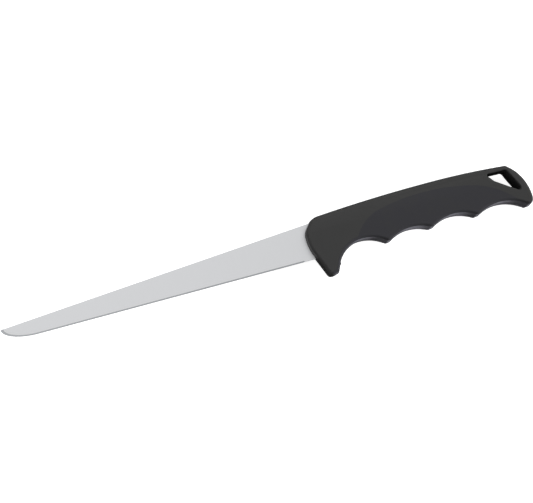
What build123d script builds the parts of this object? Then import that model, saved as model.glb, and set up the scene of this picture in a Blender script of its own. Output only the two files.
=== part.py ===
from build123d import *
from math import atan2, cos, radians, sin, sqrt, tan
import os

os.makedirs("parts", exist_ok=True)

# A fillet knife lying on its side. X runs along the cutting edge from tip to butt, Y from the
# edge to the spine, Z up from the table. The origin is under the middle of the knife.
# Lengths are in millimetres and angles in degrees.

# Main sizes, measured from the front of the handle and from the line of the cutting edge
blade_length = 180.0         # tip to the handle's front
handle_length = 132.9        # handle's front to the butt
handle_thickness = 16.0      # across the two side faces
spine_height = 25.8          # highest point of the handle's spine above the edge line
guard_depth = 12.1           # lowest point of the guard below the edge line
overrun = 30.0               # how far a cutting shape runs past what it cuts

# Blade
heel_height = 20.6           # depth of the blade where it enters the handle
tip_height = 7.5             # the point stands this far above the edge line
belly_length = 20.0          # length of the curve from the straight edge up to the point
stock_thickness = 1.6        # steel strip, seen at the heel's spine and in the tang
edge_thickness = 0.3         # what the flat grind leaves before sharpening
sharpening_angle = 12.0      # each side of the cutting edge
ricasso_length = 4.0         # unsharpened stretch in front of the handle
seat_depth = 4.6             # how far the full depth of the blade runs into the handle

# Tang, hidden in the handle
tang_length = 90.0
tang_height = 10.4
tang_shoulder = 2.6          # step down from the blade's spine
tang_end_radius = 3.0
lock_hole_radius = 2.6       # the body's plastic runs through these
lock_hole_shares = (0.2, 0.5, 0.8)

# Handle outline, front and guard
guard_rake = 21.5            # lean of the guard's front face
guard_tip_place = 9.6
guard_tip_radius = 3.0
guard_sole_rise = 17.5       # slope of the guard's underside
front_bend_share = 0.31      # of the front's height, taken by the bend towards the guard,
front_corner_share = 0.16    # by the rounding under the slanted top corner,
front_cut_share = 0.44       # and by that slant itself
front_cut_length_share = 0.38
front_top_share = 0.52       # of the slant, taken by its rounding into the spine

# Handle outline, spine and butt
spine_crest_place = 77.0
spine_front_radius = 920.0
spine_rear_radius = 485.0
butt_radius_share = 1.058    # of the spine's height
butt_height_share = 0.085    # centre of the butt's round above the edge line
butt_top_radius = 2.0
toe_depth = 2.5              # the butt's lower corner, below the edge line
toe_radius = 4.2

# Finger grooves: places from the handle's front, and crests above the edge line
index_place = 30.3
little_setback = 20.1        # from the little finger's groove to the butt
middle_share = 0.353         # of the way from the index groove to the little finger's
ring_share = 0.665
index_crest = 3.5
middle_crest = 2.5
ring_crest = 3.6
little_crest = 3.25
index_front_radius = 16.2    # the side that climbs the guard
index_rear_radius = 22.4
middle_radius = 24.0
ring_radius = 23.7
little_radius = 25.4
guard_rear_lean = 24.0       # lean of the guard's rear face below the groove
ridge_radius = 2.4           # rounding of the ridges between fingers

# Handle section
draft = 3.2                  # the walls draw in from the parting line to each side face
parting_land = 0.4           # narrow flat left along the parting line
crown_depth = 11.5           # the sides curve in over this much of the spine side
crown_drop = 2.3             # and by this much at each face
rim_bevel = 1.0              # breaks the edge where a wall meets a side

# Lanyard hole, a rounded triangle: front corner, top corner and low corner
hole_place_shares = (-0.066, 0.597, 0.868)  # of the butt's radius, behind the centre of its round
hole_low_height_share = 0.103               # and above that centre
hole_covers = (2.3, 2.8)                    # wall left under the spine at the front and top corners
hole_radii = (1.8, 2.2, 1.3)
hole_rim = 0.4                              # bevel round the hole on both faces

# Soft grip
grip_skin = 2.2              # depth of the side panels
grip_wall = 2.0              # depth round the finger grooves and up the guard
panel_crest_share = 0.538    # of the handle's length, from the front to the panel's crest
panel_cover = 5.3            # hard plastic left between the panel's crest and the spine
panel_half_share = 0.203     # and from the crest to each end of the flat arc
panel_shoulder_drop = 3.1
panel_front_place = 27.5
panel_rear_setback = 7.0
lock_window_radius = 1.8     # soft plastic runs through the body behind each ridge,
lock_window_rise = 6.4       # this far above it
pip_radius = 0.7             # trace of the moulding gate
pip_height = 0.4
pip_angle = 156.0            # its place round the index groove

# Places that follow from the sizes
little_place = handle_length - little_setback
middle_place = index_place + middle_share * (little_place - index_place)
ring_place = index_place + ring_share * (little_place - index_place)
half_thickness = handle_thickness / 2
half_stock = stock_thickness / 2
spine_slope = (heel_height - tip_height) / blade_length
edge_slope = tan(radians(sharpening_angle))
grind_slope = (stock_thickness - edge_thickness) / 2 / heel_height
bevel_depth = half_stock / edge_slope  # the bevel is drawn until it is as thick as the steel
butt_radius = butt_radius_share * spine_height
butt_height = butt_height_share * spine_height
butt_centre = handle_length - butt_radius
guard_tip = Vector(guard_tip_place, guard_tip_radius - guard_depth)
panel_crest = Vector(panel_crest_share * handle_length, spine_height - panel_cover)
panel_shoulder = Vector(panel_half_share * handle_length, panel_shoulder_drop)
round_grooves = (
    (middle_place, middle_crest, middle_radius),
    (ring_place, ring_crest, ring_radius),
    (little_place, little_crest, little_radius),
)
groove_places = (index_place, middle_place, ring_place, little_place)

# Working planes: side is the table face, middle is the plane of the blade, across is square
# to the length. In each of them the first corner is the front of the handle on the edge line.
front_x = (blade_length - handle_length) / 2
edge_y = (guard_depth - spine_height) / 2
side = Plane(origin=(front_x, edge_y, 0))
middle = side.offset(half_thickness)
across = Plane(origin=(front_x, edge_y, 0), x_dir=(0, 1, 0), z_dir=(1, 0, 0))


def spine_at(place):
    """Height of the handle's spine above the edge line."""
    radius = spine_front_radius if place < spine_crest_place else spine_rear_radius
    return spine_height - radius + sqrt(radius**2 - (place - spine_crest_place) ** 2)


def roof_at(place):
    """Height of the handle's top over the lanyard hole: the spine, or the butt's round if lower."""
    return min(spine_at(place), butt_height + sqrt(butt_radius**2 - (place - butt_centre) ** 2))


def round_corner(sketch, place, radius):
    """Round the corner of a sketch that lies nearest to a place."""
    fillet(sketch.vertices().sort_by_distance(place)[0], radius)


def groove_height(place, crest, radius, x):
    """Height of a finger groove's arc above the edge line at x."""
    return crest - radius + sqrt(radius**2 - (x - place) ** 2)


def belly_outline(inset):
    """Edge and belly of the blade, drawn inwards by an inset and closed far above the spine."""
    centre = (belly_length - blade_length, tip_height)
    front = inset - blade_length
    top = heel_height + overrun
    with BuildSketch() as outline:
        with BuildLine():
            belly = EllipticalCenterArc(centre, belly_length - inset, tip_height - inset, 180, arc_size=90)
            Polyline(belly @ 1, (-ricasso_length, inset), (-ricasso_length, top), (front, top), belly @ 0)
        make_face()
    return outline.sketch


def index_groove(growth):
    """The index finger's groove: two arcs that meet at the crest, and the rear face of the guard."""
    front_centre = (index_place, index_crest - index_front_radius)
    rear_centre = (index_place, index_crest - index_rear_radius)
    with BuildSketch() as groove:
        with BuildLine():
            climb = CenterArc(front_centre, index_front_radius + growth, 90, 90 - guard_rear_lean)
            fall = CenterArc(rear_centre, index_rear_radius + growth, 90, -90)
            guard_rear = PolarLine(climb @ 1, guard_depth + overrun, direction=climb % 1)
            Polyline(guard_rear @ 1, ((fall @ 1).X, (guard_rear @ 1).Y), fall @ 1)
        make_face()
    return groove.sketch


def finger_grooves(growth):
    """All four finger grooves, grown outwards into the handle."""
    with BuildSketch() as grooves:
        add(index_groove(growth))
        for place, crest, radius in round_grooves:
            with Locations((place, crest - radius)):
                Circle(radius + growth)
    return grooves.sketch


def handle_blank():
    """Outline of the handle before the finger grooves are cut."""
    lean = radians(guard_rake)
    rise = radians(guard_sole_rise)
    guard_front = guard_tip + Vector(-cos(lean), -sin(lean)) * guard_tip_radius
    guard_sole = guard_tip + Vector(sin(rise), -cos(rise)) * guard_tip_radius
    bend = (0, guard_front.Y + guard_front.X / tan(lean))
    front_run = spine_at(0) - bend[1]
    cut_height = front_cut_share * front_run
    cut_length = front_cut_length_share * front_run
    cut_low = (0, spine_at(0) - cut_height)
    cut_top = (cut_length, spine_at(cut_length))
    cut_turn = atan2(cut_length, cut_top[1] - cut_low[1])
    crest = (spine_crest_place, spine_height)
    rear_top = (handle_length, spine_at(handle_length))
    toe = (handle_length, -toe_depth)
    knee = (index_place, guard_sole.Y + (index_place - guard_sole.X) * tan(rise))
    with BuildSketch() as blank:
        with BuildLine():
            RadiusArc(guard_sole, guard_front, guard_tip_radius)
            Polyline(guard_front, bend, cut_low, cut_top)
            RadiusArc(cut_top, crest, spine_front_radius)
            RadiusArc(crest, rear_top, spine_rear_radius)
            Polyline(rear_top, toe, knee, guard_sole)
        make_face()
        with BuildLine():
            butt = CenterArc((butt_centre, butt_height), butt_radius, -90, 180)
            Polyline(
                butt @ 1,
                (-overrun, butt_height + butt_radius),
                (-overrun, butt_height - butt_radius),
                butt @ 0,
            )
        make_face(mode=Mode.INTERSECT)
        round_corner(blank, bend, front_bend_share * front_run / tan(lean / 2))
        round_corner(blank, cut_low, front_corner_share * front_run / tan(cut_turn / 2))
        round_corner(blank, cut_top, front_top_share * cut_height / tan(radians(90) / 2 - cut_turn / 2))
        round_corner(blank, rear_top, butt_top_radius)
        round_corner(blank, toe, toe_radius)
    return blank.sketch


def grip_outline():
    """The grip seen from the side: under a long arc, and up the rear of the guard."""
    front_groove = (index_place, index_crest, index_front_radius)
    rear_groove = (little_place, little_crest, little_radius)
    rear_place = handle_length - panel_rear_setback
    front_end = Vector(panel_front_place, groove_height(*front_groove, panel_front_place))
    rear_end = Vector(rear_place, groove_height(*rear_groove, rear_place))
    with BuildSketch() as grip:
        with BuildLine():
            crown = ThreePointArc(
                (panel_crest.X - panel_shoulder.X, panel_crest.Y - panel_shoulder.Y),
                panel_crest,
                (panel_crest.X + panel_shoulder.X, panel_crest.Y - panel_shoulder.Y),
            )
            TangentArc(crown @ 0, front_end, tangent=-(crown % 0))
            TangentArc(crown @ 1, rear_end, tangent=crown % 1)
            Polyline(front_end, (front_end.X, -overrun), (rear_end.X, -overrun), rear_end)
        make_face()
        add(index_groove(grip_wall))
        with Locations(Location((guard_tip.X, guard_tip.Y - guard_tip_radius), guard_sole_rise)):
            Rectangle(overrun, 2 * grip_wall, align=(Align.MIN, Align.CENTER))
        with Locations((little_place, little_crest - little_radius)):
            Circle(little_radius + grip_wall / 2)
        with Locations((little_place, -toe_depth)):
            Rectangle(overrun, 2 * grip_wall, align=(Align.MIN, Align.CENTER))
    return grip.sketch


def ridge_windows():
    """Places where the grip runs through the body, one behind each ridge between fingers."""
    windows = []
    grooves = ((index_place, index_crest, index_rear_radius),) + round_grooves
    for first, second in zip(grooves, grooves[1:]):
        place = (first[0] + second[0]) / 2
        height = min(groove_height(*first, place), groove_height(*second, place))
        windows.append((place, height + lock_window_rise))
    return windows


# Handle form: the outside of the whole handle, later shared out between body and grip
with BuildPart() as handle_form:
    with BuildSketch(side) as outline:
        add(handle_blank())
        add(finger_grooves(0), mode=Mode.SUBTRACT)
        for first, second in zip(groove_places, groove_places[1:]):
            ridge = outline.vertices().filter_by_position(Axis.X, first, second).sort_by(Axis.Y)[0]
            fillet(ridge, ridge_radius)
        round_corner(outline, (index_place - index_front_radius, -guard_depth), ridge_radius)
        toe_run = sqrt(little_radius**2 - (little_radius - little_crest - toe_depth) ** 2)
        round_corner(outline, (little_place + toe_run, -toe_depth), ridge_radius)
    extrude(amount=handle_thickness)

    # Draft, cut as one long bevel on each side of the parting line
    drafted = half_thickness - parting_land / 2
    for face in (handle_form.faces().sort_by(Axis.Z)[0], handle_form.faces().sort_by(Axis.Z)[-1]):
        chamfer(face.edges(), length=drafted * tan(radians(draft)), length2=drafted, reference=face)

    # Crown: the sides curve in towards the spine
    crown_start = spine_height - crown_depth
    crown_radius = (crown_depth**2 + crown_drop**2) / (2 * crown_drop)
    crown_reach = sqrt(crown_radius**2 - (crown_radius - half_thickness) ** 2)
    crown_point = (crown_start + crown_reach, half_thickness)
    sole = -guard_depth - overrun
    with BuildSketch(across.offset(-overrun)):
        with BuildLine():
            RadiusArc((crown_start, handle_thickness), crown_point, crown_radius)
            RadiusArc(crown_point, (crown_start, 0), crown_radius)
            Polyline((crown_start, 0), (sole, 0), (sole, handle_thickness), (crown_start, handle_thickness))
        make_face()
    extrude(amount=handle_length + 2 * overrun, mode=Mode.INTERSECT)
    walls = sin(radians(draft))
    sides = handle_form.faces().filter_by(lambda face: abs(face.normal_at().Z) > 2 * walls)
    chamfer(sides.edges().filter_by(Axis.X, reverse=True), rim_bevel)

    # Lanyard hole behind the grip, its rim bevelled on both faces
    hole_places = [butt_centre + share * butt_radius for share in hole_place_shares]
    hole_heights = [roof_at(place) - cover for place, cover in zip(hole_places, hole_covers)]
    hole_heights.append(butt_height + hole_low_height_share * butt_radius)
    hole_corners = list(zip(hole_places, hole_heights))
    with BuildSketch(side.offset(-overrun)) as lanyard_hole:
        with BuildLine():
            Polyline(*hole_corners, close=True)
        make_face()
        for place, radius in zip(hole_corners, hole_radii):
            round_corner(lanyard_hole, place, radius)
    extrude(amount=handle_thickness + 2 * overrun, mode=Mode.SUBTRACT)
    chamfer(handle_form.edges(Select.LAST).filter_by(Axis.Z, reverse=True), hole_rim)


# Blade: flat ground from spine to edge, sharpened, and carried on by a hidden tang
with BuildPart() as blade:
    with BuildSketch(middle):
        add(belly_outline(0))
    with BuildSketch(middle.offset(bevel_depth * edge_slope)):
        add(belly_outline(bevel_depth))
    loft(ruled=True)
    spine_end = heel_height + spine_slope * seat_depth
    with BuildSketch(middle):
        with BuildLine():
            Polyline(
                (-blade_length, tip_height),
                (seat_depth, spine_end),
                (seat_depth, -overrun),
                (-blade_length, -overrun),
                close=True,
            )
        make_face()
    extrude(amount=overrun, mode=Mode.INTERSECT)
    with BuildSketch(middle):
        with BuildLine():
            Polyline(
                (-ricasso_length, 0),
                (seat_depth, 0),
                (seat_depth, spine_end),
                (-ricasso_length, spine_end - spine_slope * (seat_depth + ricasso_length)),
                close=True,
            )
        make_face()
    extrude(amount=half_stock)
    with BuildSketch(across.offset(-blade_length - overrun)):
        with BuildLine():
            Polyline(
                (0, half_thickness),
                (0, half_thickness + edge_thickness / 2),
                (spine_end, half_thickness + edge_thickness / 2 + grind_slope * spine_end),
                (spine_end, half_thickness),
                close=True,
            )
        make_face()
    extrude(amount=blade_length + 2 * overrun, mode=Mode.INTERSECT)
    mirror(about=middle)

    # Tang, as thick as the strip
    tang_top = spine_end - tang_shoulder
    tang_middle = tang_top - tang_height / 2
    with BuildSketch(middle.offset(-half_stock)) as tang:
        with Locations((seat_depth + tang_length / 2, tang_middle)):
            Rectangle(tang_length, tang_height)
        fillet(tang.vertices().group_by(Axis.X)[-1], tang_end_radius)
        for share in lock_hole_shares:
            with Locations((seat_depth + share * tang_length, tang_middle)):
                Circle(lock_hole_radius, mode=Mode.SUBTRACT)
    extrude(amount=stock_thickness)
blade.part.label = "blade"
export_step(blade.part, "parts/blade.step")

# Soft grip: two side panels joined round the finger grooves and through the ridges
with BuildPart() as soft_grip:
    add(handle_form.part)
    with BuildSketch(side.offset(-overrun)):
        add(grip_outline())
    extrude(amount=handle_thickness + 2 * overrun, mode=Mode.INTERSECT)
    with BuildSketch(side.offset(grip_skin)):
        add(handle_blank())
        add(finger_grooves(grip_wall), mode=Mode.SUBTRACT)
        for place, height in ridge_windows():
            with Locations((place, height)):
                Circle(lock_window_radius, mode=Mode.SUBTRACT)
    extrude(amount=handle_thickness - 2 * grip_skin, mode=Mode.SUBTRACT)

    # Trace of the moulding gate, a low pip on the groove's wall between the two panels
    turn = radians(pip_angle)
    outward = Vector(-cos(turn), -sin(turn))
    pip_place = Vector(index_place, index_crest - index_front_radius) - outward * index_front_radius
    pip_plane = Plane(origin=middle.from_local_coords(pip_place), z_dir=outward)
    with BuildSketch(pip_plane.offset(-pip_height)):
        Circle(pip_radius)
    extrude(amount=2 * pip_height)
soft_grip.part.label = "soft_grip"
export_step(soft_grip.part, "parts/soft_grip.step")

# Handle body: hard plastic moulded round the tang, with a core under the grip
with BuildPart() as handle_body:
    add(handle_form.part)
    add(soft_grip.part, mode=Mode.SUBTRACT)
    add(blade.part, mode=Mode.SUBTRACT)
handle_body.part.label = "handle_body"
export_step(handle_body.part, "parts/handle_body.step")
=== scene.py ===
from math import radians
import bpy
import bmesh
from mathutils import Matrix, Vector


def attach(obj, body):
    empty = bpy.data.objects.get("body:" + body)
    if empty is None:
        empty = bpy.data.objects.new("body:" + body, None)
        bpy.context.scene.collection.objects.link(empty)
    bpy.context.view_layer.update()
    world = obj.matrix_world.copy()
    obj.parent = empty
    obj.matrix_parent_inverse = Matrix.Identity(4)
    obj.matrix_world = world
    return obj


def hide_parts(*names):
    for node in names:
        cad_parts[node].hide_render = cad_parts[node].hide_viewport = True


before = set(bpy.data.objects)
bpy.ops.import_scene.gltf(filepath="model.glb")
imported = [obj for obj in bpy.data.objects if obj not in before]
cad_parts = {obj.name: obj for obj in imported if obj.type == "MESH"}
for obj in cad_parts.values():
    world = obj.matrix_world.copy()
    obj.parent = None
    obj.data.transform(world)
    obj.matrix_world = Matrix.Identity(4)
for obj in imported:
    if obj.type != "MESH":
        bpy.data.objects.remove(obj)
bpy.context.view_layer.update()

# A fillet knife lying on its side on a white table, seen from above.
# Everything is in metres; mm turns a real size in millimetres into metres.
mm = 0.001


def srgb(hexCode):
    # hex colour as picked on screen -> the linear values that Blender wants
    parts = [int(hexCode[i:i + 2], 16) / 255 for i in (1, 3, 5)]
    return [c / 12.92 if c <= 0.04045 else ((c + 0.055) / 1.055) ** 2.4 for c in parts] + [1.0]


def addNode(tree, kind, settings=None, links=None):
    # settings: sockets by name or number, and plain properties; links: input socket -> output socket.
    # Numbers are used where names repeat: a Mix node's colours are 6 and 7, and its colour result is 2
    node = tree.nodes.new(kind)
    for name, value in (settings or {}).items():
        if isinstance(name, str) and hasattr(node, name):
            setattr(node, name, value)
        else:
            node.inputs[name].default_value = value
    for name, source in (links or {}).items():
        tree.links.new(source, node.inputs[name])
    return node


def newMaterial(name):
    material = bpy.data.materials.new(name)
    material.use_nodes = True
    material.node_tree.nodes.clear()
    return material, material.node_tree


# Camera, where the photographer's stood: nearly straight above the knife
cameraSetup = {
    "place": (-60.15 * mm, -85.85 * mm, 768.7 * mm),
    "right": (0.96300, -0.26581, 0.04456),
    "up": (0.25787, 0.95678, 0.13442),
    "focalPixels": 1344,           # focal length, in pixels of the photo
    "photoPixels": 533,            # the photo's width
    "sensorWidth": 36,             # in mm, as Blender wants it
    "sight": 20,                   # how far it sees, past the table's far corner
}
right = Vector(cameraSetup["right"]).normalized()
up = Vector(cameraSetup["up"])
up = (up - up.dot(right) * right).normalized()
back = right.cross(up)
turn = Matrix((right, up, back)).transposed().to_4x4()
bpy.ops.object.select_all(action="DESELECT")
bpy.ops.object.camera_add()
camera = bpy.context.object
camera.name = "camera"
camera.matrix_world = Matrix.Translation(cameraSetup["place"]) @ turn
camera.data.lens = cameraSetup["focalPixels"] / cameraSetup["photoPixels"] * cameraSetup["sensorWidth"]
camera.data.sensor_width = cameraSetup["sensorWidth"]
camera.data.clip_end = cameraSetup["sight"]
bpy.context.scene.camera = camera
print("camera in place")

# White table. It glows white for the camera; shiny faces see it dark grey instead, which keeps the
# mouldings' steep walls as dark as in the photo
tableSetup = {
    "size": 6.0,
    "colour": "#c0c0c0",
    "colourInGloss": "#3c3c3c",
    "glowColour": "#ffffff",
    "glow": 0.9,                   # lifts the table to white for the camera
}
bpy.ops.object.select_all(action="DESELECT")
bpy.ops.mesh.primitive_plane_add(size=tableSetup["size"])
table = bpy.context.object
table.name = "table"
whiteTableTop, tree = newMaterial("whiteTableTop")
paths = addNode(tree, "ShaderNodeLightPath")
seen = addNode(tree, "ShaderNodeMath", {"operation": "MAXIMUM"},
               {0: paths.outputs["Is Camera Ray"], 1: paths.outputs["Is Transmission Ray"]})
glow = addNode(tree, "ShaderNodeMath", {"operation": "MULTIPLY", 1: tableSetup["glow"]},
               {0: seen.outputs[0]})
shine = addNode(tree, "ShaderNodeEmission", {"Color": srgb(tableSetup["glowColour"])},
                {"Strength": glow.outputs[0]})
tint = addNode(tree, "ShaderNodeMix",
               {"data_type": "RGBA", 6: srgb(tableSetup["colour"]), 7: srgb(tableSetup["colourInGloss"])},
               {0: paths.outputs["Is Glossy Ray"]})
matt = addNode(tree, "ShaderNodeBsdfDiffuse", {}, {"Color": tint.outputs[2]})
both = addNode(tree, "ShaderNodeAddShader", {}, {0: matt.outputs[0], 1: shine.outputs[0]})
addNode(tree, "ShaderNodeOutputMaterial", {}, {"Surface": both.outputs[0]})
table.data.materials.append(whiteTableTop)
print("table in place")

# Sky: a dim light, stronger from the right. What the camera and shiny faces see of it is
# brighter, white above and darker far on the right
skySetup = {
    "colour": "#ffffff",
    "rightWards": (0.75, -0.66, 0.0),
    "light": (0.14, 0.35),         # on the left and on the right
    "lightSweep": (-0.7, 0.7),     # how far to the right those two lie
    "visible": (1.04, 0.5),        # above and far on the right
    "visibleSweep": (0.1, 0.5),
}
sky = bpy.data.worlds.new("studio")
bpy.context.scene.world = sky
sky.use_nodes = True
tree = sky.node_tree
tree.nodes.clear()
paths = addNode(tree, "ShaderNodeLightPath")
seen = addNode(tree, "ShaderNodeMath", {"operation": "MAXIMUM"},
               {0: paths.outputs["Is Camera Ray"], 1: paths.outputs["Is Glossy Ray"]})
seen = addNode(tree, "ShaderNodeMath", {"operation": "MAXIMUM"},
               {0: seen.outputs[0], 1: paths.outputs["Is Transmission Ray"]})
direction = addNode(tree, "ShaderNodeTexCoord")
across = addNode(tree, "ShaderNodeVectorMath", {"operation": "DOT_PRODUCT", 1: skySetup["rightWards"]},
                 {0: direction.outputs["Generated"]})
visible = addNode(tree, "ShaderNodeMapRange",
                  {"From Min": skySetup["visibleSweep"][0], "From Max": skySetup["visibleSweep"][1],
                   "To Min": skySetup["visible"][0], "To Max": skySetup["visible"][1]},
                  {"Value": across.outputs["Value"]})
lighting = addNode(tree, "ShaderNodeMapRange",
                   {"From Min": skySetup["lightSweep"][0], "From Max": skySetup["lightSweep"][1],
                    "To Min": skySetup["light"][0], "To Max": skySetup["light"][1]},
                   {"Value": across.outputs["Value"]})
strength = addNode(tree, "ShaderNodeMapRange", {},
                   {"Value": seen.outputs[0], "To Min": lighting.outputs[0], "To Max": visible.outputs[0]})
background = addNode(tree, "ShaderNodeBackground", {"Color": srgb(skySetup["colour"])},
                     {"Strength": strength.outputs[0]})
addNode(tree, "ShaderNodeOutputWorld", {}, {"Surface": background.outputs[0]})

# Lamps: soft light from above, nearer the guard than the butt, and a strong low one on the right
# that grazes the finger grooves and leaves the handle's front in its own shade. Power is in watts
lamps = {
    "topSoftbox": {"place": (-0.16, 0.14, 0.55), "size": 0.35, "power": 0.7},
    "backSoftbox": {"place": (-0.1, 0.9, 0.45), "size": 0.6, "power": 10.0},
    "rightSoftbox": {"place": (1.85, -0.55, 0.42), "size": 0.7, "power": 92.0},
}
for name, lamp in lamps.items():
    bpy.ops.object.select_all(action="DESELECT")
    bpy.ops.object.light_add(type="AREA", location=lamp["place"])
    light = bpy.context.object
    light.name = name
    light.data.size = lamp["size"]
    light.data.energy = lamp["power"]
    light.visible_glossy = False   # the steel mirrors the sky alone, so it never burns out
    light.rotation_euler = (-Vector(lamp["place"])).to_track_quat("-Z", "Y").to_euler()
print("sky and lamps in place")

# Blade: brushed stainless steel, cold-rolled strip with a fine belt grind across it. Pale grey and
# softly mirrored, with hairlines that only show close up. The sharpened bevel is ground finer, and its
# colour is painted darker: painted shade for the darker part of the room that it tilts to
steelLook = {
    "colour": "#d5d6d8",
    # painted shade: a darker steel colour standing in for the bevel's darker reflection
    "bevelPaintedShade": "#a9abae",
    "roughness": 0.36,
    "roughnessSpread": 0.06,
    "bevelRoughness": 0.22,
    "flatNormal": 0.99,            # faces that lean more than this are bevel, spine or tang edge
    "hairline": 0.25 * mm,         # real ones are finer; drawn this wide so that they show
    "hairlineStretch": (1, 0.02, 0.02),  # runs them across the blade
    "hairlineDetail": 2.0,
    "hairlineHeight": 0.02 * mm,
    "hairlineDepth": 0.08,
}
brushedStainless, tree = newMaterial("brushedStainless")
place = addNode(tree, "ShaderNodeTexCoord")
split = addNode(tree, "ShaderNodeSeparateXYZ", {}, {0: place.outputs["Normal"]})
upright = addNode(tree, "ShaderNodeMath", {"operation": "ABSOLUTE"}, {0: split.outputs["Z"]})
leaning = addNode(tree, "ShaderNodeMath", {"operation": "LESS_THAN", 1: steelLook["flatNormal"]},
                  {0: upright.outputs[0]})
stretch = addNode(tree, "ShaderNodeMapping", {"Scale": steelLook["hairlineStretch"]},
                  {"Vector": place.outputs["Object"]})
hairlines = addNode(tree, "ShaderNodeTexNoise",
                    {"Scale": 1 / steelLook["hairline"], "Detail": steelLook["hairlineDetail"]},
                    {"Vector": stretch.outputs[0]})
flatRough = addNode(tree, "ShaderNodeMapRange",
                    {"To Min": steelLook["roughness"] - steelLook["roughnessSpread"],
                     "To Max": steelLook["roughness"] + steelLook["roughnessSpread"]},
                    {"Value": hairlines.outputs[0]})
rough = addNode(tree, "ShaderNodeMapRange", {"To Max": steelLook["bevelRoughness"]},
                {"Value": leaning.outputs[0], "To Min": flatRough.outputs[0]})
# painted shade: leaning faces (bevel, spine, tang edge) take the darker steel colour
tint = addNode(tree, "ShaderNodeMix",
               {"data_type": "RGBA", 6: srgb(steelLook["colour"]), 7: srgb(steelLook["bevelPaintedShade"])},
               {0: leaning.outputs[0]})
bump = addNode(tree, "ShaderNodeBump",
               {"Strength": steelLook["hairlineDepth"], "Distance": steelLook["hairlineHeight"]},
               {"Height": hairlines.outputs[0]})
shader = addNode(tree, "ShaderNodeBsdfPrincipled", {"Metallic": 1.0},
                 {"Base Color": tint.outputs[2], "Roughness": rough.outputs[0], "Normal": bump.outputs[0]})
addNode(tree, "ShaderNodeOutputMaterial", {}, {"Surface": shader.outputs[0]})
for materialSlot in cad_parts["blade"].material_slots:
    materialSlot.material = brushedStainless
print("blade finished")


def mouldedSurface(name, look):
    # a fine mould grain all over, and patches that differ a little in colour and gloss
    material, tree = newMaterial(name)
    place = addNode(tree, "ShaderNodeTexCoord")
    grain = addNode(tree, "ShaderNodeTexNoise", {"Scale": 1 / look["grain"], "Detail": look["grainDetail"]},
                    {"Vector": place.outputs["Object"]})
    bump = addNode(tree, "ShaderNodeBump", {"Strength": look["grainDepth"], "Distance": look["grainHeight"]},
                   {"Height": grain.outputs[0]})
    patches = addNode(tree, "ShaderNodeTexNoise", {"Scale": 1 / look["patch"], "Detail": look["patchDetail"]},
                      {"Vector": place.outputs["Object"]})
    rough = addNode(tree, "ShaderNodeMapRange",
                    {"To Min": look["roughness"] - look["roughnessSpread"],
                     "To Max": look["roughness"] + look["roughnessSpread"]},
                    {"Value": patches.outputs[0]})
    tint = addNode(tree, "ShaderNodeMix",
                   {"data_type": "RGBA", 6: srgb(look["dark"]), 7: srgb(look["light"])},
                   {0: patches.outputs[0]})
    shader = addNode(tree, "ShaderNodeBsdfPrincipled", look["gloss"],
                     {"Base Color": tint.outputs[2], "Roughness": rough.outputs[0],
                      "Normal": bump.outputs[0]})
    addNode(tree, "ShaderNodeOutputMaterial", {}, {"Surface": shader.outputs[0]})
    return material


# Moulded polypropylene with a fine spark-eroded texture: a neutral black, nearly without gloss,
# a little shinier in patches where hands have rubbed it
bodyLook = {
    "dark": "#282828",
    "light": "#2c2c2c",
    "roughness": 0.65,
    "roughnessSpread": 0.12,
    "gloss": {"IOR": 1.49, "Specular IOR Level": 0.35},
    "patch": 9 * mm,
    "patchDetail": 4.0,
    "grain": 0.35 * mm,            # a real mould's is finer; drawn coarser so that it shows
    "grainDetail": 3.0,
    "grainHeight": 0.03 * mm,
    "grainDepth": 0.25,
}
mouldedPolypropylene = mouldedSurface("mouldedPolypropylene", bodyLook)

# Thermoplastic rubber moulded over the body: duller than the body, black with a faint blue cast
# in patches, and with a pale bloom where it turns away from the eye
gripLook = {
    "dark": "#242425",
    "light": "#29292d",
    "roughness": 0.7,
    "roughnessSpread": 0.12,
    "gloss": {"IOR": 1.5, "Specular IOR Level": 0.3, "Sheen Weight": 0.3, "Sheen Roughness": 0.38,
              "Sheen Tint": srgb("#cac9d6")},
    "patch": 6 * mm,
    "patchDetail": 4.0,
    "grain": 0.25 * mm,            # drawn coarser, as the body's
    "grainDetail": 3.0,
    "grainHeight": 0.03 * mm,
    "grainDepth": 0.3,
}
overmouldedRubber = mouldedSurface("overmouldedRubber", gripLook)
print("plastics made")

# Handle: the two mouldings again, with the mould's parting line as a fine ridge all round and
# their rims rounded. The two plastics meet flush, as they come out of the mould
mouldSetup = {
    "weld": 0.001 * mm,
    "flatAngle": radians(0.5),     # faces that turn less than this are one flat
    "partingHeight": 8.0 * mm,     # above the table
    "landHeight": 0.5 * mm,        # the narrow flat that the ridge grows from is lower than this
    "landNormal": 0.02,            # and upright to this
    "ridgeHeight": 0.12 * mm,
    "ridgeShare": 0.35,            # of the flat's height, left at the ridge's crest
    "rimRound": 0.3 * mm,
    "rimSegments": 3,
    "rimAngles": (radians(30), radians(62)),  # where the faces meet at about half a right angle
    "rimClear": 3.0 * mm,          # rims lie at least this far from the parting line
    "smoothAngle": radians(35),
}
# The lanyard hole's front corner is sharper in the photo than in the solid, and nearer the butt
holeCornerSetup = {
    "place": Vector((133.7, 13.4, 8.0)) * mm,
    "reach": 2.6 * mm,
    "tip": (131.2 * mm, 13.6 * mm, 8.0 * mm),
    "sharpen": (0.6, 0.6, 1),
    "shift": (2.0 * mm, -0.15 * mm, 0),
}


def selectJust(kind, wanted):
    # in edit mode: the vertices, edges or faces that pass the test, and no others
    bpy.ops.mesh.select_mode(type=kind)
    bpy.ops.mesh.select_all(action="DESELECT")
    mesh = bpy.context.object.data
    skin = bmesh.from_edit_mesh(mesh)
    for element in {"VERT": skin.verts, "EDGE": skin.edges, "FACE": skin.faces}[kind]:
        element.select_set(wanted(element))
    bmesh.update_edit_mesh(mesh)


def fromParting(vert):
    return abs(vert.co.z - mouldSetup["partingHeight"])


def atHoleCorner(vert):
    return (vert.co - holeCornerSetup["place"]).xy.length < holeCornerSetup["reach"]


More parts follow.
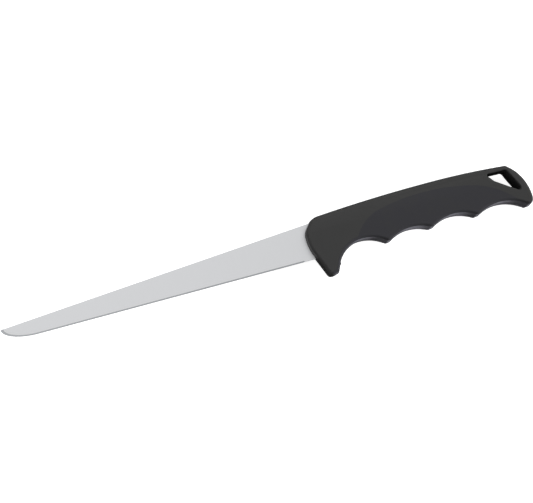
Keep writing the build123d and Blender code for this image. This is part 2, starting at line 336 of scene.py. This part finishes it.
def onPartingLand(face):
    low = all(fromParting(vert) < mouldSetup["landHeight"] / 2 for vert in face.verts)
    return low and abs(face.normal.z) < mouldSetup["landNormal"]


def onRim(edge):
    least, most = mouldSetup["rimAngles"]
    clear = all(fromParting(vert) > mouldSetup["rimClear"] for vert in edge.verts)
    return clear and least < edge.calc_face_angle(0) < most


def mergedCopy(node, name):
    # the CAD mesh is loose triangles: merged here, with its flats made whole
    bpy.ops.object.select_all(action="DESELECT")
    node.select_set(True)
    bpy.context.view_layer.objects.active = node
    bpy.ops.object.duplicate()
    piece = bpy.context.object
    piece.name = name
    piece.data.name = name
    bpy.ops.mesh.customdata_custom_splitnormals_clear()
    bpy.ops.object.mode_set(mode="EDIT")
    bpy.ops.mesh.select_mode(type="EDGE")
    bpy.ops.mesh.select_all(action="SELECT")
    bpy.ops.mesh.remove_doubles(threshold=mouldSetup["weld"])
    bpy.ops.mesh.dissolve_limited(angle_limit=mouldSetup["flatAngle"])
    return piece


def dressMoulding(node, name, material):
    piece = mergedCopy(node, name)
    selectJust("VERT", atHoleCorner)
    bpy.ops.transform.resize(value=holeCornerSetup["sharpen"], center_override=holeCornerSetup["tip"])
    bpy.ops.transform.translate(value=holeCornerSetup["shift"])
    # parting ridge: pull the narrow flat outwards and pinch it
    selectJust("FACE", onPartingLand)
    bpy.ops.mesh.extrude_region_shrink_fatten(
        TRANSFORM_OT_shrink_fatten={"value": mouldSetup["ridgeHeight"], "use_even_offset": True})
    bpy.ops.transform.resize(value=(1, 1, mouldSetup["ridgeShare"]),
                             center_override=(0, 0, mouldSetup["partingHeight"]))
    selectJust("EDGE", onRim)
    bpy.ops.mesh.bevel(offset=mouldSetup["rimRound"], segments=mouldSetup["rimSegments"],
                       clamp_overlap=False)
    bpy.ops.object.mode_set(mode="OBJECT")
    bpy.ops.object.shade_smooth_by_angle(angle=mouldSetup["smoothAngle"])
    bpy.ops.object.modifier_add(type="WEIGHTED_NORMAL")  # keeps the wide flats flat in the light
    piece.modifiers[-1].keep_sharp = True
    bpy.ops.object.modifier_apply(modifier=piece.modifiers[-1].name)
    piece.data.materials.clear()
    piece.data.materials.append(material)
    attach(piece, "root")
    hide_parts(node.name)
    print(name, "made,", len(piece.data.polygons), "faces")


dressMoulding(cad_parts["handle_body"], "handleShell", mouldedPolypropylene)
dressMoulding(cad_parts["soft_grip"], "gripCover", overmouldedRubber)

bpy.context.scene.view_settings.view_transform = "Standard"
